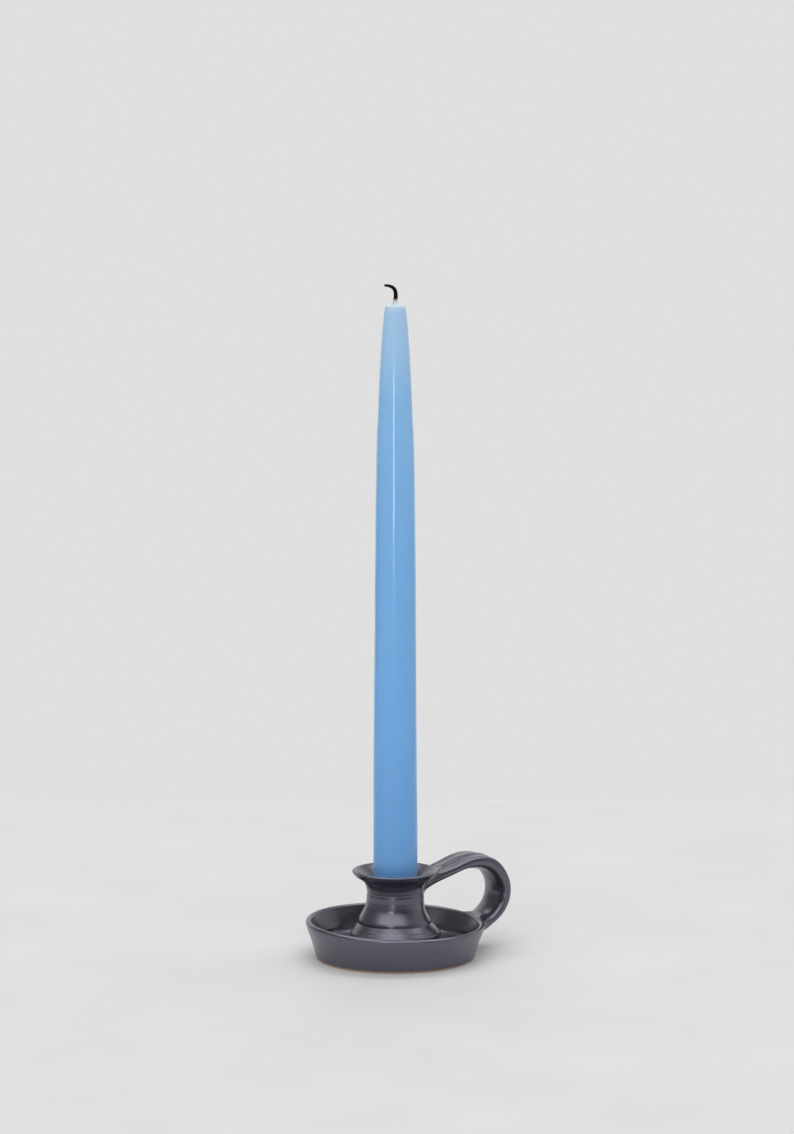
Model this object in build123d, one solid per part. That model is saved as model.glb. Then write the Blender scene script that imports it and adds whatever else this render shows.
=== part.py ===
from build123d import *
import math
import os

os.makedirs("parts", exist_ok=True)

# A stoneware chamberstick with a finger loop, holding one dinner taper.
# Lengths are in millimetres and angles in degrees. Z is up and the foot stands at zero.
# A list of shares holds pure proportions of the named sizes beside it.

# The candle.
candle_diameter = 22.0
candle_length = 300.0
candle_edge_radius = 0.8
wax_cone_diameter = 4.4
wax_cone_height = 2.0
wick_diameter = 2.0
wick_stand = 9.6
wick_lean = 5.4

# The drip pan.
rim_diameter = 89.4
rim_thickness = 3.0
foot_diameter = 79.0
foot_edge_radius = 0.6
pan_height = 17.1
pan_floor_height = 6.0
pan_corner_radius = 3.0

# The candle socket in the middle of the pan.
lip_diameter = 42.8
lip_height = 43.8
lip_thickness = 1.7
neck_diameter = 28.3
neck_height = 33.0
bead_diameter = 44.6
socket_depth = 20.3
socket_floor = 4.8
socket_wall = 5.6
candle_gap = 0.35

# The strap handle that makes the finger loop.
loop_turn = 29.3
loop_reach = 20.6
loop_rise = 18.9
strap_width = 20.6
strap_thickness = 4.6
lip_drop = 4.6
rim_drop = 5.8

# Radii and heights that follow from the sizes above.
candle_radius = candle_diameter / 2
wick_radius = wick_diameter / 2
rim_radius = rim_diameter / 2
foot_radius = foot_diameter / 2
lip_radius = lip_diameter / 2
neck_radius = neck_diameter / 2
bead_radius = bead_diameter / 2
bore_radius = candle_radius + candle_gap
seat_height = lip_height - socket_depth
candle_top = seat_height + candle_length


def blend(low, high, share):
    """Return the value that lies the given share of the way from low to high."""
    return low + (high - low) * share


def outline(shares, low_radius, high_radius, low_height, high_height):
    """Turn pairs of shares into points of a turned outline."""
    points = []
    for radius_share, height_share in shares:
        radius = blend(low_radius, high_radius, radius_share)
        points.append((radius, blend(low_height, high_height, height_share)))
    return points


def turned(edges):
    """Spin a closed outline round the upright axis."""
    return revolve(Plane.XZ * make_face(edges), Axis.Z)


# The drip pan is thrown: a flat foot, a wall that leans outwards and a half-round rim.
wall_shares = [(0, 0), (0.13, 0.18), (0.29, 0.37), (0.45, 0.53), (0.64, 0.69), (0.84, 0.85)]
wall_shares += [(0.98, 1)]
inner_share = 0.3
rim_roll = rim_thickness / 2
rim_middle = rim_radius - rim_roll
rim_start = pan_height - rim_roll
inner_rim = rim_radius - rim_thickness
inner_foot = blend(foot_radius, rim_radius, inner_share) - rim_thickness
corner_start = pan_floor_height + pan_corner_radius

foot_edge = JernArc((foot_radius - foot_edge_radius, 0), (1, 0), foot_edge_radius, 90)
wall_points = outline(wall_shares, foot_radius, rim_radius, foot_edge_radius, rim_start)
pan_side = Spline(*wall_points)
inner_wall = Line((inner_rim, rim_start), (inner_foot, corner_start))
rim_crest = (rim_middle, pan_height)
rim_outside = Spline(pan_side @ 1, rim_crest, tangents=[pan_side % 1, (-1, 0)])
rim_inside = Spline(rim_crest, inner_wall @ 0, tangents=[(-1, 0), inner_wall % 0])
floor_edge = (inner_foot - pan_corner_radius, pan_floor_height)
pan_corner = Spline(inner_wall @ 1, floor_edge, tangents=[inner_wall % 1, (-1, 0)])
pan_outside = [Line((0, 0), foot_edge @ 0), foot_edge, pan_side, rim_outside]
pan_inside = [
    rim_inside,
    inner_wall,
    pan_corner,
    Line(floor_edge, (0, pan_floor_height)),
    Line((0, pan_floor_height), (0, 0)),
]
drip_pan = turned(pan_outside + pan_inside)

# The socket stands on the pan floor: a round foot bead, a cut notch, a bell that narrows
# to the neck with one throwing ring round it, and a wide flared lip.
bead_shares = [(0.77, 0), (0.84, 0.148), (0.95, 0.218), (1, 0.272), (0.84, 0.337)]
bead_shares += [(0.69, 0.38), (0.49, 0.43)]
bell_shares = [(0.49, 0.43), (0.509, 0.462), (0.405, 0.519), (0.264, 0.585)]
bell_shares += [(0.129, 0.663), (0.045, 0.73), (-0.002, 0.81), (-0.014, 0.9)]
bell_shares += [(0.012, 0.965), (0, 1)]
flare_shares = [(0, 0), (0.026, 0.2), (0.085, 0.36), (0.2, 0.51), (0.42, 0.648)]
flare_shares += [(0.724, 0.769)]
funnel_shares = [(0.853, 0.954), (0.658, 0.843), (0.44, 0.704), (0.245, 0.537)]
funnel_shares += [(0.103, 0.352), (0.027, 0.176), (0, 0)]
cavity_shares = [(0, 1), (0.53, 0.944), (0.853, 0.68), (0.976, 0.32), (1, 0)]

lip_roll = lip_thickness / 2
lip_start = lip_height - lip_roll
cavity_radius = bead_radius - socket_wall
cavity_top = seat_height - socket_floor

bead_points = outline(bead_shares, neck_radius, bead_radius, pan_floor_height, neck_height)
bell_points = outline(bell_shares, neck_radius, bead_radius, pan_floor_height, neck_height)
flare_points = outline(flare_shares, neck_radius, lip_radius, neck_height, lip_height)
flare_points.append((lip_radius, lip_start))
lip_edge = JernArc((lip_radius, lip_start), (0, 1), lip_roll, 90)
lip_top = lip_edge @ 1
funnel_points = outline(funnel_shares, bore_radius, lip_top.X, neck_height, lip_height)
cavity_points = outline(cavity_shares, 0, cavity_radius, pan_floor_height, cavity_top)

socket_outside = [
    Spline(*bead_points),
    Spline(*bell_points, tangents=[(1, 3), (0, 1)], tangent_scalars=[1, 1]),
    Spline(*flare_points, tangents=[(0, 1), (0, 1)], tangent_scalars=[1, 1]),
    lip_edge,
]
socket_inside = [
    Spline(lip_top, *funnel_points, tangents=[(-1, 0), (0, -1)], tangent_scalars=[1, 1]),
    Line((bore_radius, neck_height), (bore_radius, seat_height)),
    Line((bore_radius, seat_height), (0, seat_height)),
    Line((0, seat_height), (0, cavity_top)),
    Spline(*cavity_points, tangents=[(1, 0), (0, -1)], tangent_scalars=[1, 1]),
    Line(cavity_points[-1], bead_points[0]),
]
candle_socket = turned(socket_outside + socket_inside)

# The loop is a strap of clay. These lists place the middle of the strap from the bell
# under the lip, over the top and down into the wall of the pan.
along_shares = [-0.62, 0, 0.125, 0.25, 0.375, 0.5, 0.625, 0.75, 0.875, 1.02, 0.63]
down_shares = [0.2, 0, 0.125, 0.25, 0.375, 0.5, 0.625, 0.75, 0.875, 1, 1.17]
out_shares = [0, 0, 0.257, 0.421, 0.618, 0.808, 0.939, 1, 0.707, 0, 0]
up_shares = [0, 0, 0.33, 0.636, 0.877, 1, 0.946, 0.633, 0.238, 0, 0]
width_shares = [0.86, 0.9, 0.94, 0.98, 1, 1.01, 1.02, 1.01, 0.99, 0.97, 0.97]
# The crown is the strap's outer half and the belly its inner half, in half thicknesses.
crown_shares = [1.7, 1.4, 1.12, 1.14, 1.24, 1.28, 1.24, 1.2, 1.1, 1.04, 1.04]
belly_shares = [1.7, 1, 1.1, 1.25, 1.55, 1.6, 1.38, 1.25, 1.22, 1.34, 1.4]

# Half of the strap's section, from the middle of the outer face round the edge to the
# middle of the inner face: a low crown, a drawn groove, a raised edge and a full belly.
section_shares = [(0, 1), (0.25, 0.92), (0.5, 0.79), (0.68, 0.84), (0.82, 0.88), (0.93, 0.68)]
section_shares += [(1, 0), (0.97, -0.5), (0.86, -0.8), (0.45, -0.97)]
back_shares = [(0, -1)]

turn = math.radians(loop_turn)
outward = Vector(math.cos(turn), math.sin(turn), 0)
sideways = Vector(math.sin(turn), -math.cos(turn), 0)
upward = Vector(0, 0, 1)
root_height = lip_height - lip_drop
landing_height = pan_height - rim_drop

strap_points = []
for place in range(len(along_shares)):
    along = blend(lip_radius, rim_radius, along_shares[place]) + loop_reach * out_shares[place]
    height = blend(root_height, landing_height, down_shares[place]) + loop_rise * up_shares[place]
    strap_points.append(outward * along + upward * height)

strap_sections = []
for place, middle in enumerate(strap_points):
    before = strap_points[max(place - 1, 0)]
    after = strap_points[min(place + 1, len(strap_points) - 1)]
    plane = Plane(origin=middle, x_dir=sideways, z_dir=after - before)
    half_width = strap_width / 2 * width_shares[place]
    crown = strap_thickness / 2 * crown_shares[place]
    belly = strap_thickness / 2 * belly_shares[place]
    mirrored_shares = [(-across, over) for across, over in reversed(section_shares[1:])]
    points = []
    for across, over in section_shares + back_shares + mirrored_shares:
        points.append((half_width * across, -over * (crown if over > 0 else belly)))
    strap_sections.append(plane * make_face(Spline(*points, periodic=True)))
strap = loft(strap_sections)

# The ends of the strap are pressed onto the bell and the pan, so both are cut out of it.
pan_body = turned(
    pan_outside
    + [
        Line(rim_outside @ 1, (0, pan_height)),
        Line((0, pan_height), (0, 0)),
    ]
)
socket_body = turned(
    socket_outside
    + [
        Line(lip_top, (0, lip_height)),
        Line((0, lip_height), (0, pan_floor_height)),
        Line((0, pan_floor_height), bead_points[0]),
    ]
)
loop_handle = strap - pan_body - socket_body

# The candle is a dinner taper: straight at the foot, slimmer towards the top, cut flat.
taper_shares = [(1, 0.03), (1, 0.09), (0.994, 0.184), (0.98, 0.268), (0.96, 0.351)]
taper_shares += [(0.946, 0.434), (0.927, 0.517), (0.907, 0.6), (0.883, 0.682)]
taper_shares += [(0.842, 0.764), (0.794, 0.813), (0.718, 0.878), (0.645, 0.927)]
taper_shares += [(0.575, 0.96), (0.51, 0.984), (0.47, 1)]
cone_shares = [(1, 0), (0.45, 0.15), (0.12, 0.5), (0, 1)]

side_points = outline(taper_shares, 0, candle_radius, seat_height, candle_top)
tip_radius = side_points[-1][0]
foot_corner = candle_radius - candle_edge_radius
side_points[0] = (candle_radius, seat_height + candle_edge_radius)
side_points[-1] = (tip_radius, candle_top - candle_edge_radius)
cone_radius = wax_cone_diameter / 2
cone_top = candle_top + wax_cone_height
cone_points = outline(cone_shares, wick_radius, cone_radius, candle_top, cone_top)
wax_foot = JernArc((foot_corner, seat_height), (1, 0), candle_edge_radius, 90)
wax_side = Spline(*side_points, tangents=[(0, 1), (-1, 9)], tangent_scalars=[1, 1])
wax_edge = JernArc(side_points[-1], (0, 1), candle_edge_radius, 90)
taper_candle = turned(
    [
        Line((wick_radius, seat_height), wax_foot @ 0),
        wax_foot,
        wax_side,
        wax_edge,
        Line(wax_edge @ 1, cone_points[0]),
        Spline(*cone_points),
        Line(cone_points[-1], (wick_radius, seat_height)),
    ]
)

# The wick fills the hole down the middle of the wax. Above the wax it thins, bends over
# and ends in a charred tip.
lean_shares = [0, 0, 0.04, 0.03, -0.03, -0.17, -0.38, -0.66, -1]
stand_shares = [0.2, 0.27, 0.4, 0.6, 0.75, 0.865, 0.94, 0.985, 1]
bend_shares = [1, 1, 0.98, 0.95, 0.9, 0.84, 0.76, 0.66, 0.5]
wick_core = Pos(0, 0, seat_height) * Cylinder(
    wick_radius,
    candle_length + wick_stand * stand_shares[0],
    align=(Align.CENTER, Align.CENTER, Align.MIN),
)
wick_points = []
for lean_share, stand_share in zip(lean_shares, stand_shares):
    wick_points.append(Vector(wick_lean * lean_share, 0, candle_top + wick_stand * stand_share))
wick_rings = []
for place, middle in enumerate(wick_points):
    before = wick_points[max(place - 1, 0)]
    after = wick_points[min(place + 1, len(wick_points) - 1)]
    plane = Plane(origin=middle, x_dir=(0, 1, 0), z_dir=after - before)
    wick_rings.append(plane * Circle(wick_radius * bend_shares[place]))
wick = wick_core + loft(wick_rings)

export_step(drip_pan, "parts/drip_pan.step")
export_step(candle_socket, "parts/candle_socket.step")
export_step(loop_handle, "parts/loop_handle.step")
export_step(taper_candle, "parts/taper_candle.step")
export_step(wick, "parts/wick.step")
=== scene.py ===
# The looks of a stoneware chamberstick with a finger loop, holding a blue taper.
# Lengths are in metres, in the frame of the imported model: Z up, the foot at zero.
import math

import bmesh
import bpy
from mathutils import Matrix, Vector, noise


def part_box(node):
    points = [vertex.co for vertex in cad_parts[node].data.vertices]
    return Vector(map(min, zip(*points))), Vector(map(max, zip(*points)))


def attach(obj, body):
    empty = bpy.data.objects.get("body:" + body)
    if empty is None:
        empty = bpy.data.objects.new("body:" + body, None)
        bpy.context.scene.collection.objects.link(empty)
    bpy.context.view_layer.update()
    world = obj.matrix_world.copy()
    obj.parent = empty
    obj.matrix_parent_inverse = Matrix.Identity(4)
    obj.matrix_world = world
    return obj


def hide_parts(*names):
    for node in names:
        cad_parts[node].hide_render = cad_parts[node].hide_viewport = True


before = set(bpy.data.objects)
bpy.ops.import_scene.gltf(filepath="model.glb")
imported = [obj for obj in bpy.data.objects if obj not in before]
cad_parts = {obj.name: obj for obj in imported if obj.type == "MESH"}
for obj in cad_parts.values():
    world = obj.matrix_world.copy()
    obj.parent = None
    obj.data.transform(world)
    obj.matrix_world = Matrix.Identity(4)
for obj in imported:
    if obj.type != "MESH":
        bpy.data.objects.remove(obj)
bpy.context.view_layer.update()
scene = bpy.context.scene

MM = 0.001

# The camera stands in front of the table and looks slightly down.
SENSOR = 36.0
PHOTO_HEIGHT = 1134
FOCAL_PIXELS = 3475.9
CAMERA_DISTANCE = 1.7
CAMERA_HEIGHT = 0.37993
CAMERA_SIDE = 0.00083
CAMERA_TILT = math.radians(6.21)
TABLE_BACK = 0.445
TABLE_REACH = 2.5

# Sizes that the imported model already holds.
pan_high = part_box("drip_pan")[1]
socket_low, socket_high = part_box("candle_socket")
wax_low, wax_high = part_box("taper_candle")
RIM_RADIUS = pan_high.x
PAN_HEIGHT = pan_high.z
PAN_FLOOR = socket_low.z
BEAD_RADIUS = socket_high.x
LIP_HEIGHT = socket_high.z
SEAT_HEIGHT = wax_low.z
CANDLE_RADIUS = wax_high.x
CONE_TOP = wax_high.z

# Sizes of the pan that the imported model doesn't give by itself.
FOOT_RADIUS = 39.5 * MM
FOOT_EDGE = 0.6 * MM
RIM_THICKNESS = 3.0 * MM
RIM_ROUND = RIM_THICKNESS / 2
RIM_MIDDLE = RIM_RADIUS - RIM_ROUND
RIM_START = PAN_HEIGHT - RIM_ROUND
RIM_TILT = 1.3 * MM
RIM_TILT_TURN = math.radians(18)
RIM_LIFT = 0.75 * MM
PAN_CORNER = 3.0 * MM
CORNER_START = PAN_FLOOR + PAN_CORNER
INNER_FOOT = FOOT_RADIUS + (RIM_RADIUS - FOOT_RADIUS) * 0.3 - RIM_THICKNESS

# The glaze: where it starts, how it stands out there, its thin glaze and painted
# highlight on edges, and its painted shade inside the pan.
GLAZE_LINE = 0.9 * MM
GLAZE_THICKNESS = 0.16 * MM
GLAZE_STEP = 0.2 * MM
GLAZE_FADE = 5 * MM
THIN_AND_HIGHLIGHT_REACH = 1.1 * MM
SHORT_EDGE = 0.5 * MM
PAINTED_SHADE_FADE = 3

# Sizes of the socket.
LIP_RADIUS = 21.4 * MM
LIP_THICKNESS = 1.7 * MM
NECK_RADIUS = 14.15 * MM
NECK_HEIGHT = 33.0 * MM
NECK_BULGE = 0.1 * MM
NECK_BULGE_REACH = 5.0 * MM
BORE_RADIUS = 11.35 * MM
BELL_LEVEL = 21.0 * MM
BELL_BULGE = 0.6 * MM
BELL_BULGE_REACH = 4.5 * MM

# Sizes of the strap that makes the loop.
LOOP_TURN = math.radians(29.3)
LOOP_REACH = 20.6 * MM
LOOP_RISE = 18.9 * MM
STRAP_WIDTH = 20.6 * MM
STRAP_THICKNESS = 4.6 * MM
LIP_DROP = 4.6 * MM
RIM_DROP = 5.8 * MM
LANDING_LOW = 4.8 * MM
LANDING_INSIDE = 1.2 * MM
LANDING_SHIFT = 3.5 * MM

# Pairs of values, for the outer and the inner side of the strap. Starts and ends are
# places along its middle line, and pulls say how far each end of a web runs straight.
STRAP_STARTS = (1.5, 2.8)
STRAP_ENDS = (8.7, 8.3)
ROOT_HEIGHTS = (43.6 * MM, 29.0 * MM)
ROOT_HALF_WIDTHS = (10.2 * MM, 8.6 * MM)
ROOT_STRAP_PULLS = (0.45, 0.45)
ROOT_CLAY_PULLS = (0.4, 0.15)
LANDING_HALF_WIDTHS = (9.8 * MM, 15.5 * MM)
LANDING_STRAP_PULLS = (0.7, 0.45)
LANDING_CLAY_PULLS = (0.2, 0.4)

# Sizes of the candle and the wick.
CANDLE_LENGTH = 300.0 * MM
CANDLE_TOP = SEAT_HEIGHT + CANDLE_LENGTH
WAX_EDGE = 0.8 * MM
CONE_RADIUS = 2.2 * MM
WICK_RADIUS = 1.08 * MM
WICK_STAND = 9.6 * MM
WICK_LEAN = 5.4 * MM
WICK_BURIED = 4 * MM
WICK_TURNS = 3.2

# How finely the shapes are drawn.
POT_SEGMENTS = 112
CANDLE_SEGMENTS = 56
OUTLINE_STEPS = 3
STRAP_STEPS = 60
WEB_STEPS = 9
LANDING_STEPS = 24
HALVINGS = 24
WICK_STEPS = 90
WICK_SIDES = 8

# How bright the parts of the room are, seen from the table.
FRONT_LIGHT = 0.12
LEFT_LIGHT = 0.24
RIGHT_LIGHT = 0.6
BACK_LIGHT = 0.86
HIGH_LIGHT = 0.25
CEILING_LIGHT = 2.6

# Bright patches of the room: their middle and their reach in degrees, sideways and
# upwards, and their strength.
SOFTBOX = ((-10, 61), (60, 31), 1.8)
WINDOW = ((-13, 22), (6, 5), 6.5)
LAMP = ((-9, -2), (3, 5), 14.0)

# Colours.
ROOM_COLOUR = (0.95, 0.95, 0.95)
BACKDROP_COLOUR = (0.74, 0.74, 0.74)
TABLE_DARK = (0.66, 0.66, 0.66)
TABLE_PALE = (0.7, 0.7, 0.7)
SLATE_DARK = (0.028, 0.0273, 0.0362)
SLATE_PALE = (0.035, 0.034, 0.0447)
SLATE_GRAIN = (0.06, 0.058, 0.068)
# Painted shade for the inside of the pan.
SLATE_PAINTED_SHADE = (0.014, 0.014, 0.018)
# Pale slate for thin glaze on edges and the painted highlight laid there.
SLATE_THIN_AND_HIGHLIGHT = (0.2, 0.19, 0.195)
SLATE_SHEEN = (0.83, 0.82, 1.0, 1)
CLAY_TAN = (0.34, 0.2, 0.1)
CLAY_PALE = (0.5, 0.33, 0.18)
CLAY_DARK = (0.22, 0.12, 0.06)
WAX_BLOOM = (0.3, 0.5, 0.74)
WAX_SPECK = (0.05, 0.14, 0.34)
# Painted highlight on the candle's top edge and wax cone.
WAX_TOP_HIGHLIGHT = (0.72, 0.82, 0.9)


# Helpers for the shapes.
def blend(low, high, share):
    """Return the value that lies the given share of the way from low to high."""
    return low + (high - low) * share


def outline(shares, low_radius, high_radius, low_height, high_height):
    """Turn pairs of shares into points of a turned outline."""
    points = []
    for radius_share, height_share in shares:
        radius = blend(low_radius, high_radius, radius_share)
        height = blend(low_height, high_height, height_share)
        points.append(Vector((radius, 0, height)))
    return points


def on_axis(values):
    """Turn plain values into points, so that they can run along a smooth curve."""
    return [Vector((value, 0, 0)) for value in values]


def on_curve(points, place):
    """Return the point at a place along a smooth curve through the points."""
    last = len(points) - 1
    start = min(max(int(math.floor(place)), 0), last - 1)
    share = place - start
    before = points[max(start - 1, 0)]
    here = points[start]
    there = points[start + 1]
    after = points[min(start + 2, last)]
    leave = (there - before) / 2
    arrive = (after - here) / 2
    square = share * share
    cube = square * share
    near = (2 * cube - 3 * square + 1) * here + (cube - 2 * square + share) * leave
    return near + (3 * square - 2 * cube) * there + (cube - square) * arrive


def smooth_line(points, steps):
    """Return a finer line that runs smoothly through the points."""
    line = []
    for place in range((len(points) - 1) * steps):
        line.append(on_curve(points, place / steps))
    line.append(points[-1].copy())
    return line


def arc(middle_radius, middle_height, radius, first, last, steps):
    """Return an arc of a turned outline, between two angles in degrees."""
    points = []
    for step in range(steps + 1):
        angle = math.radians(blend(first, last, step / steps))
        across = middle_radius + radius * math.cos(angle)
        points.append(Vector((across, 0, middle_height + radius * math.sin(angle))))
    return points


def turned(profile, segments):
    """Spin an outline that starts and ends on the upright axis into a closed bmesh."""
    bm = bmesh.new()
    verts = [bm.verts.new(point) for point in profile]
    edges = []
    for first, second in zip(verts, verts[1:]):
        edges.append(bm.edges.new((first, second)))
    bmesh.ops.spin(
        bm,
        geom=verts + edges,
        cent=(0, 0, 0),
        axis=(0, 0, 1),
        angle=math.radians(360),
        steps=segments,
        use_merge=True,
    )
    bmesh.ops.remove_doubles(bm, verts=bm.verts, dist=0.01 * MM)
    bmesh.ops.recalc_face_normals(bm, faces=bm.faces)
    return bm


def run_ring(bm, rings):
    """Extrude a closed ring of points through the given rings and close both ends."""
    made = bmesh.ops.create_circle(bm, segments=len(rings[0]), radius=MM, cap_ends=True)
    verts = made["verts"]
    for vert, point in zip(verts, rings[0]):
        vert.co = point
    loop = list({edge for vert in verts for edge in vert.link_edges})
    for ring in rings[1:]:
        grown = bmesh.ops.extrude_edge_only(bm, edges=loop)["geom"]
        new_verts = [item for item in grown if isinstance(item, bmesh.types.BMVert)]
        loop = [edge for edge in grown if isinstance(edge, bmesh.types.BMEdge)]
        loop = [edge for edge in loop if all(vert in new_verts for vert in edge.verts)]
        nearest = {}
        for vert in verts:
            for edge in vert.link_edges:
                other = edge.other_vert(vert)
                if other in new_verts:
                    nearest[vert] = other
        verts = [nearest[vert] for vert in verts]
        for vert, point in zip(verts, ring):
            vert.co = point
    bmesh.ops.contextual_create(bm, geom=loop)
    bmesh.ops.recalc_face_normals(bm, faces=bm.faces)


def unevenness(bm, amount, size, seed):
    """Move the surface in and out a little, as hands leave it."""
    for vert in bm.verts:
        flat = Vector((vert.co.x, vert.co.y, 0))
        if flat.length < MM:
            continue
        place = vert.co / size + Vector((seed, 0, 0))
        vert.co += flat.normalized() * noise.noise(place) * amount


def rim_rise(spot):
    """How far the uneven rim lifts a point of the pan, none at the floor."""
    share = min(max((spot.z - PAN_FLOOR) / (PAN_HEIGHT - PAN_FLOOR), 0), 1)
    across = spot.x * math.cos(RIM_TILT_TURN) - spot.y * math.sin(RIM_TILT_TURN)
    return share * (RIM_LIFT - RIM_TILT * across / RIM_RADIUS)


def bulge(bm, level, reach, sideways):
    """Push the clay sideways round one level, as it leans on a wheel."""
    for vert in bm.verts:
        far = (vert.co.z - level) / reach
        vert.co.x += sideways * math.exp(-far * far)


def mark_thin_glaze_and_highlight(bm):
    """Note how far each point stands out on an edge, for thin glaze and a painted
    highlight.
    """
    bm.normal_update()
    layer = bm.verts.layers.float.new("thin_glaze_and_highlight")
    for vert in bm.verts:
        bend = 0
        for edge in vert.link_edges:
            other = edge.other_vert(vert)
            along = other.co - vert.co
            span = max(along.length_squared, SHORT_EDGE**2)
            bend += (other.normal - vert.normal).dot(along) / span
        bend /= max(len(vert.link_edges), 1)
        vert[layer] = min(max(bend * THIN_AND_HIGHLIGHT_REACH, 0), 1)


def mark_painted_pan_shade(bm):
    """Note where painted shade darkens the glaze inside the pan, full on the floor and
    low wall, fading towards the rim.
    """
    layer = bm.verts.layers.float.new("painted_pan_shade")
    for vert in bm.verts:
        share = (vert.co.z - PAN_FLOOR) / (PAN_HEIGHT - PAN_FLOOR)
        wall = blend(INNER_FOOT, RIM_RADIUS - RIM_THICKNESS, share) + MM
        inside = math.hypot(vert.co.x, vert.co.y) < wall and share > -0.1
        vert[layer] = min(max((1 - share) * PAINTED_SHADE_FADE, 0), 1) if inside else 0


def finish_piece(bm, name, material, levels=1):
    """Turn a bmesh into a smooth piece with its finish."""
    mesh = bpy.data.meshes.new(name)
    bm.to_mesh(mesh)
    bm.free()
    mesh.shade_smooth()
    piece = bpy.data.objects.new(name, mesh)
    scene.collection.objects.link(piece)
    mesh.materials.append(material)
    if levels:
        smoother = piece.modifiers.new("smoother", "SUBSURF")
        smoother.levels = levels
        smoother.render_levels = levels
    return piece


# Helpers for the materials.
def new_material(name):
    """Start a material and return it with its tree, its shader and the place on it."""
    material = bpy.data.materials.new(name)
    material.use_nodes = True
    tree = material.node_tree
    place = tree.nodes.new("ShaderNodeTexCoord").outputs["Object"]
    return material, tree, tree.nodes["Principled BSDF"], place


def set_or_link(tree, socket, value):
    """Link a node's output to a socket, or set the socket to a plain value."""
    if isinstance(value, bpy.types.NodeSocket):
        tree.links.new(value, socket)
    else:
        socket.default_value = value


def node(tree, kind, **inputs):
    """Add a node and set or link its inputs by name."""
    made = tree.nodes.new(kind)
    for key, value in inputs.items():
        set_or_link(tree, made.inputs[key.replace("_", " ")], value)
    return made


def ramp(tree, value, stops):
    """Add a colour ramp with the given places and colours."""
    made = tree.nodes.new("ShaderNodeValToRGB")
    while len(made.color_ramp.elements) < len(stops):
        made.color_ramp.elements.new(0.5)
    for element, (place, colour) in zip(made.color_ramp.elements, stops):
        element.position = place
        element.color = (*colour, 1)
    tree.links.new(value, made.inputs["Fac"])
    return made.outputs["Color"]


def spread(tree, value, low, high, to_low=0.0, to_high=1.0):
    """Map a value from one range to another, smoothly and held at both ends."""
    made = tree.nodes.new("ShaderNodeMapRange")
    made.interpolation_type = "SMOOTHSTEP"
    tree.links.new(value, made.inputs["Value"])
    made.inputs["From Min"].default_value = low
    made.inputs["From Max"].default_value = high
    made.inputs["To Min"].default_value = to_low
    made.inputs["To Max"].default_value = to_high
    return made.outputs["Result"]


def spread_angle(tree, value, low, high, to_low=0.0, to_high=1.0):
    """Map an angle in the same way, with its range in degrees."""
    return spread(tree, value, math.radians(low), math.radians(high), to_low, to_high)


def calc(tree, operation, first, second):
    """Add a math node and return its value."""
    made = tree.nodes.new("ShaderNodeMath")
    made.operation = operation
    for socket, value in zip(made.inputs, (first, second)):
        set_or_link(tree, socket, value)
    return made.outputs["Value"]


def mixed(tree, share, first, second):
    """Mix two colours by a share."""
    made = tree.nodes.new("ShaderNodeMix")
    made.data_type = "RGBA"
    colour_inputs = [item for item in made.inputs if item.type == "RGBA"]
    sockets = (made.inputs[0], colour_inputs[0], colour_inputs[1])
    for socket, value in zip(sockets, (share, first, second)):
        plain = isinstance(value, tuple)
        set_or_link(tree, socket, (*value, 1) if plain else value)
    return [item for item in made.outputs if item.type == "RGBA"][0]


def speckle_noise(tree, place, size, detail=3.0):
    """Add a noise whose grains have about the given size in metres."""
    made = node(tree, "ShaderNodeTexNoise", Vector=place, Scale=1 / size)
    made.inputs["Detail"].default_value = detail
    made.inputs["Roughness"].default_value = 0.55
    return made.outputs["Fac"]


def height_of(tree, place):
    """Return the height above the table of a place."""
    return node(tree, "ShaderNodeSeparateXYZ", Vector=place).outputs["Z"]


def attribute(tree, name):
    """Return a value that was noted on the points of the mesh."""
    made = tree.nodes.new("ShaderNodeAttribute")
    made.attribute_name = name
    return made.outputs["Fac"]


def add_relief(tree, shader, height, strength, depth):
    """Give a finish a fine relief."""
    bump = node(tree, "ShaderNodeBump", Height=height, Strength=strength, Distance=depth)
    tree.links.new(bump.outputs["Normal"], shader.inputs["Normal"])


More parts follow.
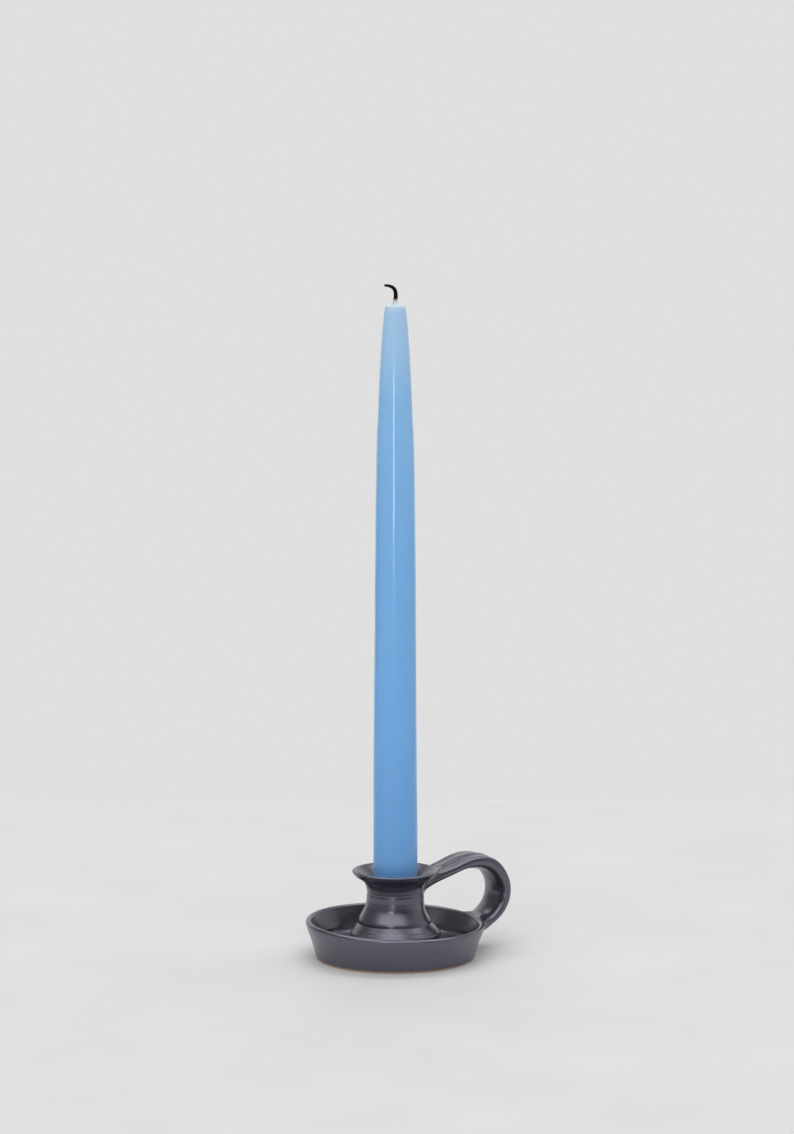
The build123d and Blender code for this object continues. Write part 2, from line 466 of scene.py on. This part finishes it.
def make_glaze():
    """The satin slate glaze, paler on edges by thin glaze and painted highlight, with
    painted shade inside the pan, over a tan clay foot.
    """
    material, tree, shader, place = new_material("slate_glaze_finish")
    thin = attribute(tree, "thin_glaze_and_highlight")
    shade_inside = attribute(tree, "painted_pan_shade")
    clouds = speckle_noise(tree, place, 14 * MM)
    grains = speckle_noise(tree, place, 0.7 * MM)
    slate = ramp(tree, clouds, [(0.3, SLATE_DARK), (0.7, SLATE_PALE)])
    grain_mask = spread(tree, grains, 0.56, 0.7, 0.0, 0.3)
    slate = mixed(tree, grain_mask, slate, SLATE_GRAIN)
    # Thin glaze and painted highlight: outward edges are mixed towards pale slate.
    edge = calc(tree, "ADD", thin, calc(tree, "MULTIPLY", clouds, 0.3))
    thin_and_highlight_mask = spread(tree, edge, 0.35, 0.95, 0.0, 0.4)
    # Painted shade: the glaze is darkened inside the pan.
    slate = mixed(tree, shade_inside, slate, SLATE_PAINTED_SHADE)
    slate = mixed(tree, thin_and_highlight_mask, slate, SLATE_THIN_AND_HIGHLIGHT)
    roughness = spread(tree, clouds, 0.3, 0.7, 0.22, 0.3)
    ripple = speckle_noise(tree, place, 3.5 * MM, 2.0)
    relief = calc(tree, "ADD", ripple, calc(tree, "MULTIPLY", grains, 0.08))

    height = height_of(tree, place)
    wavy = calc(tree, "MULTIPLY", speckle_noise(tree, place, 5 * MM), 0.5 * MM)
    level = calc(tree, "SUBTRACT", height, wavy)
    glazed = spread(tree, level, GLAZE_LINE - 0.35 * MM, GLAZE_LINE - 0.15 * MM)
    clay = ramp(tree, grains, [(0.35, CLAY_TAN), (0.6, CLAY_PALE), (0.75, CLAY_DARK)])
    colour = mixed(tree, glazed, clay, slate)
    bare_rough = calc(tree, "MULTIPLY", calc(tree, "SUBTRACT", 1.0, glazed), 0.5)
    roughness = calc(tree, "ADD", roughness, bare_rough)

    tree.links.new(colour, shader.inputs["Base Color"])
    tree.links.new(roughness, shader.inputs["Roughness"])
    shader.inputs["IOR"].default_value = 2.2
    shader.inputs["Specular Tint"].default_value = SLATE_SHEEN
    add_relief(tree, shader, relief, 0.07, 0.3 * MM)
    return material


def make_wax():
    """Blue wax, paler towards the top, with a faint bloom, a few specks and a painted
    highlight on its top.
    """
    material, tree, shader, place = new_material("blue_wax_finish")
    height = height_of(tree, place)
    body = ramp(
        tree,
        spread(tree, height, LIP_HEIGHT, CANDLE_TOP),
        [
            (0.0, (0.16, 0.41, 0.79)),
            (0.15, (0.19, 0.47, 0.87)),
            (0.6, (0.22, 0.51, 0.9)),
            (0.93, (0.3, 0.59, 0.94)),
            (1.0, (0.44, 0.68, 0.94)),
        ],
    )
    bloom = spread(tree, speckle_noise(tree, place, 9 * MM, 4.0), 0.45, 0.7, 0.0, 0.08)
    colour = mixed(tree, bloom, body, WAX_BLOOM)
    dots = node(tree, "ShaderNodeTexVoronoi", Vector=place, Scale=1 / (14 * MM))
    speck = spread(tree, dots.outputs["Distance"], 0.022, 0.034, 0.7, 0.0)
    colour = mixed(tree, speck, colour, WAX_SPECK)
    # Painted highlight: the top edge of the candle and its wax cone turn pale.
    tip = spread(tree, height, CANDLE_TOP - 5 * MM, CANDLE_TOP + 1 * MM, 0.0, 0.8)
    colour = mixed(tree, tip, colour, WAX_TOP_HIGHLIGHT)
    tree.links.new(colour, shader.inputs["Base Color"])
    shader.inputs["Roughness"].default_value = 0.11
    shader.inputs["IOR"].default_value = 1.44
    shader.inputs["Subsurface Weight"].default_value = 0.35
    shader.inputs["Subsurface Radius"].default_value = (0.3, 0.6, 1.0)
    shader.inputs["Subsurface Scale"].default_value = 4 * MM
    streaks = speckle_noise(tree, place, 2.2 * MM, 2.0)
    add_relief(tree, shader, streaks, 0.08, 0.2 * MM)
    return material


def make_wick_finish():
    """Cotton, pale and waxy at the foot, scorched brown and then charred black."""
    material, tree, shader, place = new_material("cotton_wick_finish")
    height = height_of(tree, place)
    char = speckle_noise(tree, place, 0.5 * MM)
    level = calc(tree, "ADD", height, calc(tree, "MULTIPLY", char, 1.2 * MM))
    colour = ramp(
        tree,
        spread(tree, level, CANDLE_TOP + 2.6 * MM, CANDLE_TOP + 5.2 * MM),
        [
            (0.0, (0.62, 0.68, 0.72)),
            (0.3, (0.2, 0.13, 0.08)),
            (0.55, (0.01, 0.009, 0.008)),
            (1.0, (0.004, 0.004, 0.004)),
        ],
    )
    tree.links.new(colour, shader.inputs["Base Color"])
    shader.inputs["Roughness"].default_value = 0.9
    shader.inputs["Specular IOR Level"].default_value = 0.15
    add_relief(tree, shader, char, 0.6, 0.2 * MM)
    return material


# The pieces of the pot.
def pan_outside():
    """The outline of the pan from the edge of the foot up the wall to the rim."""
    wall_shares = [(0, 0), (0.13, 0.18), (0.29, 0.37), (0.45, 0.53), (0.64, 0.69)]
    wall_shares += [(0.84, 0.85), (0.98, 1)]
    wall = outline(wall_shares, FOOT_RADIUS, RIM_RADIUS, FOOT_EDGE, RIM_START)
    return wall + arc(RIM_MIDDLE, RIM_START, RIM_ROUND, 30, 90, 3)


def pan_rim_inside():
    """The outline of the rim from its top to the start of the inner wall."""
    return arc(RIM_MIDDLE, RIM_START, RIM_ROUND, 105, 170, 5)


def make_pan(material):
    """The thrown drip pan: flat bare foot, leaning wall, round rim and flat floor."""
    outside = smooth_line(pan_outside(), OUTLINE_STEPS)
    for point in outside:
        above = point.z - GLAZE_LINE
        if above > 0:
            stand = GLAZE_THICKNESS * min(above / GLAZE_STEP, 1)
            point.x += stand * math.exp(-above / GLAZE_FADE)
    foot = arc(FOOT_RADIUS - FOOT_EDGE, FOOT_EDGE, FOOT_EDGE, -90, -15, 3)
    rim = pan_rim_inside()
    inner_wall = smooth_line([rim[-1], Vector((INNER_FOOT, 0, CORNER_START))], 9)[1:]
    corner = arc(INNER_FOOT - PAN_CORNER, CORNER_START, PAN_CORNER, -6, -90, 5)
    floor_line = smooth_line([corner[-1], Vector((0, 0, PAN_FLOOR))], 14)[1:]
    centre = [Vector((FOOT_RADIUS * share, 0, 0)) for share in (0, 0.5, 0.92)]
    profile = centre + foot + outside[1:] + rim + inner_wall + corner[1:] + floor_line
    bm = turned(profile, POT_SEGMENTS)
    unevenness(bm, amount=0.25 * MM, size=40 * MM, seed=3)
    mark_painted_pan_shade(bm)
    for vert in bm.verts:
        vert.co.z += rim_rise(vert.co)
    mark_thin_glaze_and_highlight(bm)
    piece = finish_piece(bm, "glazed_drip_pan", material)
    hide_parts("drip_pan")
    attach(piece, "holder")


def column_outside():
    """The outline of the socket, from its foot bead over bell and neck to the lip."""
    bead_shares = [(0.77, 0), (0.87, 0.1), (0.98, 0.16), (1.03, 0.19), (1.05, 0.218)]
    bead_shares += [(1.025, 0.246), (0.955, 0.272), (0.88, 0.297), (0.815, 0.318)]
    bead_shares += [(0.785, 0.331), (0.74, 0.346), (0.66, 0.37), (0.565, 0.4)]
    bell_shares = [(0.505, 0.418), (0.49, 0.432), (0.483, 0.452), (0.465, 0.476)]
    bell_shares += [(0.408, 0.514), (0.275, 0.583), (0.147, 0.663), (0.085, 0.718)]
    bell_shares += [(0.054, 0.77), (0.032, 0.82), (0.022, 0.844), (0.02, 0.865)]
    bell_shares += [(0.018, 0.896), (0.016, 0.93), (0.009, 0.948), (-0.003, 0.965)]
    bell_shares += [(-0.008, 0.985)]
    flare_shares = [(0.002, 0.01), (0.027, 0.1), (0.055, 0.2), (0.125, 0.35)]
    flare_shares += [(0.265, 0.49), (0.5, 0.61), (0.79, 0.74)]
    lip_roll = LIP_THICKNESS / 2
    lower = bead_shares + bell_shares
    points = outline(lower, NECK_RADIUS, BEAD_RADIUS, PAN_FLOOR, NECK_HEIGHT)
    points += outline(flare_shares, NECK_RADIUS, LIP_RADIUS, NECK_HEIGHT, LIP_HEIGHT)
    points += arc(LIP_RADIUS - lip_roll, LIP_HEIGHT - lip_roll, lip_roll, 0, 90, 4)
    return points


def make_socket(material):
    """The turned socket: foot bead, notch, bell, throwing ring, neck and lip."""
    funnel_shares = [(0.853, 0.954), (0.658, 0.843), (0.44, 0.704), (0.245, 0.537)]
    funnel_shares += [(0.103, 0.352), (0.027, 0.176), (0, 0)]
    outside = smooth_line(column_outside(), OUTLINE_STEPS)
    lip_top = outside[-1]
    funnel = outline(funnel_shares, BORE_RADIUS, lip_top.x, NECK_HEIGHT, LIP_HEIGHT)
    inside = smooth_line([lip_top] + funnel, 2)[1:]
    bore = smooth_line([inside[-1], Vector((BORE_RADIUS, 0, SEAT_HEIGHT))], 4)[1:]
    seat = [Vector((BORE_RADIUS * 0.97, 0, SEAT_HEIGHT)), Vector((0, 0, SEAT_HEIGHT))]
    sunk = Vector((0, 0, 0.5 * MM))
    underside = [Vector((0, 0, PAN_FLOOR)) - sunk, outside[0] - sunk]
    bm = turned(underside + outside + inside + bore + seat, POT_SEGMENTS)
    unevenness(bm, amount=0.15 * MM, size=26 * MM, seed=9)
    bulge(bm, BELL_LEVEL, BELL_BULGE_REACH, -BELL_BULGE)
    bulge(bm, NECK_HEIGHT, NECK_BULGE_REACH, NECK_BULGE)
    mark_thin_glaze_and_highlight(bm)
    piece = finish_piece(bm, "glazed_candle_socket", material)
    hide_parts("candle_socket")
    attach(piece, "holder")


class Strap:
    """The drawn strap: a smooth middle line with a width and a thickness along it."""

    along_shares = [-0.62, 0, 0.125, 0.25, 0.375, 0.5, 0.625, 0.75, 0.875, 1.02, 0.63]
    down_shares = [0.2, 0, 0.125, 0.25, 0.375, 0.5, 0.625, 0.75, 0.875, 1, 1.17]
    out_shares = [0, 0, 0.257, 0.421, 0.618, 0.808, 0.939, 1, 0.707, 0, 0]
    up_shares = [0, 0, 0.33, 0.636, 0.877, 1, 0.946, 0.633, 0.238, 0, 0]
    width_shares = [0.86, 0.9, 0.94, 0.98, 1, 1.01, 1.02, 1.01, 0.99, 0.97, 0.97]
    crown_shares = [1.7, 1.4, 1.12, 1.14, 1.26, 1.4, 1.42, 1.36, 1.2, 1.04, 1.04]
    belly_shares = [1.7, 1.4, 1.45, 1.6, 2.05, 2.2, 2.0, 1.8, 1.64, 1.5, 1.5]

    # A value is evened out over this many neighbours on each side, so far apart.
    neighbours = 3
    neighbour_gap = 0.13
    look_ahead = 0.1

    def __init__(self):
        self.outward = Vector((math.cos(LOOP_TURN), math.sin(LOOP_TURN), 0))
        self.sideways = Vector((math.sin(LOOP_TURN), -math.cos(LOOP_TURN), 0))
        root_height = LIP_HEIGHT - LIP_DROP
        landing_height = PAN_HEIGHT - RIM_DROP
        self.middles = []
        for place, share in enumerate(self.along_shares):
            along = blend(LIP_RADIUS, RIM_RADIUS, share)
            along += LOOP_REACH * self.out_shares[place]
            height = blend(root_height, landing_height, self.down_shares[place])
            height += LOOP_RISE * self.up_shares[place]
            self.middles.append(self.outward * along + Vector((0, 0, height)))
        self.widths = on_axis(self.width_shares)
        self.crowns = on_axis(self.crown_shares)
        self.bellies = on_axis(self.belly_shares)

    def along(self, values, place):
        """A value at a place along the strap, evened out between its neighbours."""
        total = Vector((0, 0, 0))
        for step in range(-self.neighbours, self.neighbours + 1):
            total += on_curve(values, place + self.neighbour_gap * step)
        return total / (2 * self.neighbours + 1)

    def heading(self, place):
        """The direction of the strap's middle line, from the lip towards the pan."""
        ahead = self.along(self.middles, place + self.look_ahead)
        behind = self.along(self.middles, place - self.look_ahead)
        return (ahead - behind).normalized()

    def point(self, place, across, over):
        """A point of the skin, by shares of the half width and the half thickness."""
        inner = self.heading(place).cross(self.sideways)
        half_width = STRAP_WIDTH / 2 * self.along(self.widths, place).x
        shares = self.crowns if over > 0 else self.bellies
        half_thickness = STRAP_THICKNESS / 2 * self.along(shares, place).x
        beside = self.along(self.middles, place) + self.sideways * half_width * across
        return beside - inner * half_thickness * over


def place_at(profile, height):
    """Return the place along a rising outline where it reaches a height."""
    low, high = 0, len(profile) - 1
    for _ in range(HALVINGS):
        place = (low + high) / 2
        if on_curve(profile, place).z < height:
            low = place
        else:
            high = place
    return place


def evened(points, count):
    """Return the given number of steps along a line, all of the same length."""
    lengths = [0]
    for first, second in zip(points, points[1:]):
        lengths.append(lengths[-1] + (second - first).length)
    result = []
    spot = 0
    for step in range(count + 1):
        goal = lengths[-1] * step / count
        while spot < len(points) - 2 and lengths[spot + 1] < goal:
            spot += 1
        share = (goal - lengths[spot]) / (lengths[spot + 1] - lengths[spot])
        result.append(points[spot].lerp(points[spot + 1], share))
    return result


def landing_line():
    """The line of the pan that the strap lands on, up the wall and over the rim."""
    outside = smooth_line(pan_outside(), OUTLINE_STEPS)
    outside = [point for point in outside if point.z > LANDING_LOW]
    over = pan_rim_inside()
    lower = Vector((INNER_FOOT, 0, CORNER_START))
    down = (lower - over[-1]).normalized() * LANDING_INSIDE
    return evened(outside + over + [over[-1] + down], LANDING_STEPS)


def turned_place(profile, place, side, strap):
    """Return a point on a turned surface, its outward normal and its two directions."""
    last = len(profile) - 1
    point = on_curve(profile, place)
    step = 0.05
    ahead = on_curve(profile, min(place + step, last))
    along = (ahead - on_curve(profile, max(place - step, 0))).normalized()
    radius = point.x
    angle = math.asin(max(min(side / radius, 1), -1))
    spoke = strap.outward * math.cos(angle) + strap.sideways * math.sin(angle)
    round_about = strap.sideways * math.cos(angle) - strap.outward * math.sin(angle)
    place_on = spoke * radius + Vector((0, 0, point.z))
    rising = spoke * along.x + Vector((0, 0, along.z))
    normal = (spoke * along.z - Vector((0, 0, along.x))).normalized()
    return place_on, normal, rising, round_about


def web(start, heading, foot, spreading, normal, pulls):
    """Return a smooth run from the strap onto the clay, with its end tucked under it."""
    reach = (foot - start).length
    first = start + heading * reach * pulls[0]
    second = foot - spreading * reach * pulls[1]
    points = []
    for step in range(1, WEB_STEPS + 1):
        share = step / WEB_STEPS
        rest = 1 - share
        near = rest**3 * start + 3 * rest**2 * share * first
        points.append(near + 3 * rest * share**2 * second + share**3 * foot)
    points.append(foot + spreading * 0.4 * MM - normal * 0.7 * MM)
    return points


def by_side(values, over):
    """Blend a pair of values, from the outer to the inner side of the strap."""
    return blend(*values, (1 - over) / 2)


def strap_section():
    """The strap's cut, in shares of its half width and its half thickness."""
    near_shares = [(0, 1), (0.1, 0.98), (0.24, 0.87), (0.4, 0.8), (0.6, 0.82)]
    near_shares += [(0.77, 0.84), (0.88, 0.77), (0.945, 0.64), (0.975, 0.44)]
    near_shares += [(0.99, 0.2), (0.995, -0.06), (0.95, -0.34), (0.83, -0.57)]
    near_shares += [(0.65, -0.74), (0.43, -0.87), (0.2, -0.96), (0, -1)]
    far_shares = [(-0.3, -0.94), (-0.58, -0.78), (-0.8, -0.58), (-0.94, -0.35)]
    far_shares += [(-1, -0.05), (-0.99, 0.3), (-0.93, 0.62), (-0.81, 0.82)]
    far_shares += [(-0.66, 0.82), (-0.46, 0.8), (-0.28, 0.87), (-0.12, 0.98)]
    corners = [Vector((across, over, 0)) for across, over in near_shares + far_shares]
    closed = corners[-1:] + corners + corners[:2]
    section = []
    for place in range(len(corners)):
        for part in (0, 0.5):
            section.append(on_curve(closed, place + 1 + part))
    return section


def root_run(strap, column, across, over):
    """One strand's run from the strap onto the socket."""
    start = by_side(STRAP_STARTS, over)
    root_place = place_at(column, by_side(ROOT_HEIGHTS, over))
    root_side = across * by_side(ROOT_HALF_WIDTHS, over)
    foot, normal, rising, about = turned_place(column, root_place, root_side, strap)
    spreading = (rising * over + about * across).normalized()
    pulls = (by_side(ROOT_STRAP_PULLS, over), by_side(ROOT_CLAY_PULLS, over))
    tip = strap.point(start, across, over)
    return web(tip, -strap.heading(start), foot, spreading, normal, pulls)


def landing_run(strap, pan, across, over):
    """One strand's run from the strap onto the wall and the rim of the pan."""
    end = by_side(STRAP_ENDS, over)
    land_place = by_side((0, len(pan) - 1), over)
    land_side = LANDING_SHIFT + across * by_side(LANDING_HALF_WIDTHS, over)
    base, skin, climbing, around = turned_place(pan, land_place, land_side, strap)
    base.z += rim_rise(base)
    sliding = (around * across - climbing * over).normalized()
    pulls = (by_side(LANDING_STRAP_PULLS, over), by_side(LANDING_CLAY_PULLS, over))
    heel = strap.point(end, across, over)
    return web(heel, strap.heading(end), base, sliding, skin, pulls)


def make_handle(material):
    """The strap handle, its ends spread and smoothed onto the socket and the pan."""
    strap = Strap()
    column = [point for point in column_outside() if point.z > BELL_LEVEL]
    pan = landing_line()
    strands = []
    for spot in strap_section():
        across, over = spot.x, spot.y
        start = by_side(STRAP_STARTS, over)
        end = by_side(STRAP_ENDS, over)
        strand = list(reversed(root_run(strap, column, across, over)))
        for step in range(STRAP_STEPS + 1):
            place = blend(start, end, step / STRAP_STEPS)
            strand.append(strap.point(place, across, over))
        strands.append(strand + landing_run(strap, pan, across, over))
    bm = bmesh.new()
    run_ring(bm, [list(ring) for ring in zip(*strands)])
    mark_thin_glaze_and_highlight(bm)
    piece = finish_piece(bm, "glazed_loop_handle", material)
    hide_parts("loop_handle")
    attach(piece, "holder")


# The candle and its wick.
def make_candle(material):
    """The dinner taper: straight at the foot, slimmer towards its flat cut top."""
    taper_shares = [(1, 0.03), (1, 0.09), (0.994, 0.184), (0.98, 0.268), (0.96, 0.351)]
    taper_shares += [(0.946, 0.434), (0.927, 0.517), (0.907, 0.6), (0.883, 0.682)]
    taper_shares += [(0.842, 0.764), (0.794, 0.813), (0.718, 0.878), (0.645, 0.927)]
    taper_shares += [(0.575, 0.96), (0.51, 0.984), (0.47, 1)]
    side = outline(taper_shares, 0, CANDLE_RADIUS, SEAT_HEIGHT, CANDLE_TOP)
    foot_round = SEAT_HEIGHT + WAX_EDGE
    top_round = CANDLE_TOP - WAX_EDGE
    side[0].z = foot_round
    side[-1].z = top_round
    tip = side[-1].x
    foot = arc(CANDLE_RADIUS - WAX_EDGE, foot_round, WAX_EDGE, -90, 0, 3)
    top = arc(tip - WAX_EDGE, top_round, WAX_EDGE, 15, 90, 3)
    cone_shares = [(1, 0), (0.62, 0.12), (0.32, 0.4), (0.14, 0.75), (0, 1)]
    cone = outline(cone_shares, WICK_RADIUS * 0.9, CONE_RADIUS, CANDLE_TOP, CONE_TOP)
    profile = [Vector((0, 0, SEAT_HEIGHT))] + foot[:-1] + smooth_line(side, 4) + top
    profile.append(Vector(((tip - WAX_EDGE + CONE_RADIUS) / 2, 0, CANDLE_TOP)))
    profile += smooth_line(cone, 2)
    profile.append(Vector((0, 0, CONE_TOP)))
    bm = turned(profile, CANDLE_SEGMENTS)
    unevenness(bm, amount=0.14 * MM, size=22 * MM, seed=5)
    piece = finish_piece(bm, "wax_taper", material)
    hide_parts("taper_candle")
    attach(piece, "candle")


def wick_line():
    """The middle line of the wick, from inside the wax to its tip, and its girths."""
    lean_shares = [0, 0, 0.04, 0.03, -0.03, -0.17, -0.38, -0.66, -1]
    stand_shares = [0.2, 0.27, 0.4, 0.6, 0.75, 0.865, 0.94, 0.985, 1]
    girth_shares = [1, 1, 0.98, 0.95, 0.9, 0.84, 0.76, 0.66, 0.5]
    middles = [Vector((0, 0, CANDLE_TOP - WICK_BURIED))]
    for lean, stand in zip(lean_shares, stand_shares):
        middles.append(Vector((WICK_LEAN * lean, 0, CANDLE_TOP + WICK_STAND * stand)))
    return middles, on_axis([1] + girth_shares)


def wick_place(middles, girths, share):
    """The wick's middle and girth at a share of its length, and two ways across it."""
    place = share * (len(middles) - 1)
    heading = on_curve(middles, place + 0.02) - on_curve(middles, place - 0.02)
    side = Vector((0, 1, 0))
    front = heading.normalized().cross(side)
    return on_curve(middles, place), on_curve(girths, place).x, side, front


def spokes(side, front):
    """Return the directions from the middle of a strand to the points round it."""
    made = []
    for part in range(WICK_SIDES):
        angle = 2 * math.pi * part / WICK_SIDES
        made.append(side * math.cos(angle) + front * math.sin(angle))
    return made


def make_wick(material):
    """The braided wick: three strands plaited round a core, bent over at the tip."""
    middles, girths = wick_line()
    strand_radius = WICK_RADIUS * 0.6
    bm = bmesh.new()
    for strand in range(3):
        rings = []
        for step in range(WICK_STEPS + 1):
            share = step / WICK_STEPS
            middle, girth, side, front = wick_place(middles, girths, share)
            swing = 2 * math.pi * (WICK_TURNS * step / WICK_STEPS + strand / 3)
            offset = side * math.sin(swing) + front * math.sin(2 * swing) * 0.75
            centre = middle + offset * WICK_RADIUS * 0.7 * girth
            around = spokes(side, front)
            rings.append([centre + spoke * strand_radius * girth for spoke in around])
        run_ring(bm, rings)
    core = []
    core_steps = WICK_STEPS // 3
    for step in range(core_steps + 1):
        middle, girth, side, front = wick_place(middles, girths, step / core_steps)
        around = spokes(side, front)
        core.append([middle + spoke * WICK_RADIUS * 0.8 * girth for spoke in around])
    run_ring(bm, core)
    piece = finish_piece(bm, "braided_wick", material)
    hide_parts("wick")
    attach(piece, "candle")


# The table, the light and the camera.
def make_table():
    """A plain pale table top that ends behind the object."""
    bm = bmesh.new()
    bmesh.ops.create_grid(bm, x_segments=1, y_segments=1, size=1)
    for vert in bm.verts:
        vert.co.x *= TABLE_REACH
        vert.co.y = TABLE_BACK if vert.co.y > 0 else -TABLE_REACH
    material, tree, shader, place = new_material("pale_table_finish")
    wear = speckle_noise(tree, place, 80 * MM, 5.0)
    colour = ramp(tree, wear, [(0.3, TABLE_DARK), (0.7, TABLE_PALE)])
    tree.links.new(colour, shader.inputs["Base Color"])
    shader.inputs["Roughness"].default_value = 0.6
    table = finish_piece(bm, "table_top", material, levels=0)


def patch(tree, turn, rise, middle, reach):
    """A soft-edged patch of the room, by its middle and its reach in degrees."""
    share = 1.0
    for value, centre, half in zip((turn, rise), middle, reach):
        off = calc(tree, "SUBTRACT", value, math.radians(centre))
        off = calc(tree, "ABSOLUTE", off, 0.0)
        edge = spread_angle(tree, off, half * 0.6, half * 1.3, 1.0, 0.0)
        share = calc(tree, "MULTIPLY", edge, share)
    return share


def lit(tree, light, shape, strength):
    """Add a shape of the given strength to the light."""
    return calc(tree, "ADD", light, calc(tree, "MULTIPLY", shape, strength))


def make_light():
    """The room: bright wall behind, dim room in front, soft ceiling and a window."""
    world = bpy.data.worlds.new("daylight")
    scene.world = world
    world.use_nodes = True
    tree = world.node_tree
    background = tree.nodes["Background"]
    way = tree.nodes.new("ShaderNodeTexCoord").outputs["Generated"]
    split = node(tree, "ShaderNodeSeparateXYZ", Vector=way).outputs
    ahead = calc(tree, "MULTIPLY", split["Y"], -1.0)
    turn = calc(tree, "ARCTAN2", split["X"], ahead)
    rise = calc(tree, "ARCSINE", split["Z"], 0.0)
    low_back = spread_angle(tree, rise, 26, 38, BACK_LIGHT, HIGH_LIGHT)
    behind = spread_angle(tree, calc(tree, "ABSOLUTE", turn, 0.0), 128, 145)
    left = spread(tree, split["X"], -0.5, 0.3, LEFT_LIGHT - FRONT_LIGHT, 0)
    right = spread_angle(tree, turn, 42, 92, FRONT_LIGHT, RIGHT_LIGHT)
    sides = calc(tree, "ADD", left, right)
    wall = calc(tree, "MULTIPLY", behind, calc(tree, "SUBTRACT", low_back, sides))
    light = calc(tree, "ADD", wall, sides)
    ceiling = spread_angle(tree, rise, 44, 58)
    ceiling = calc(tree, "MULTIPLY", ceiling, spread(tree, split["Y"], -0.15, 0.4))
    light = lit(tree, light, ceiling, CEILING_LIGHT)
    for middle, reach, strength in (SOFTBOX, WINDOW, LAMP):
        light = lit(tree, light, patch(tree, turn, rise, middle, reach), strength)
    # The camera sees a plain backdrop instead of the room.
    seen = tree.nodes.new("ShaderNodeLightPath").outputs["Is Camera Ray"]
    shade = mixed(tree, seen, ROOM_COLOUR, BACKDROP_COLOUR)
    tree.links.new(shade, background.inputs["Color"])
    level = tree.nodes.new("ShaderNodeMix")
    tree.links.new(seen, level.inputs[0])
    tree.links.new(light, level.inputs[2])
    level.inputs[3].default_value = 1.0
    tree.links.new(level.outputs[0], background.inputs["Strength"])


def make_camera():
    """The camera of the photograph."""
    data = bpy.data.cameras.new("camera")
    data.sensor_width = SENSOR
    data.lens = FOCAL_PIXELS * SENSOR / PHOTO_HEIGHT
    camera = bpy.data.objects.new("camera", data)
    camera.location = (CAMERA_SIDE, -CAMERA_DISTANCE, CAMERA_HEIGHT)
    camera.rotation_euler = (math.radians(90) - CAMERA_TILT, 0, 0)
    scene.collection.objects.link(camera)
    scene.camera = camera


make_camera()
make_table()
make_light()
glaze = make_glaze()
make_pan(glaze)
make_socket(glaze)
make_handle(glaze)
make_candle(make_wax())
make_wick(make_wick_finish())
scene.view_settings.view_transform = "Standard"
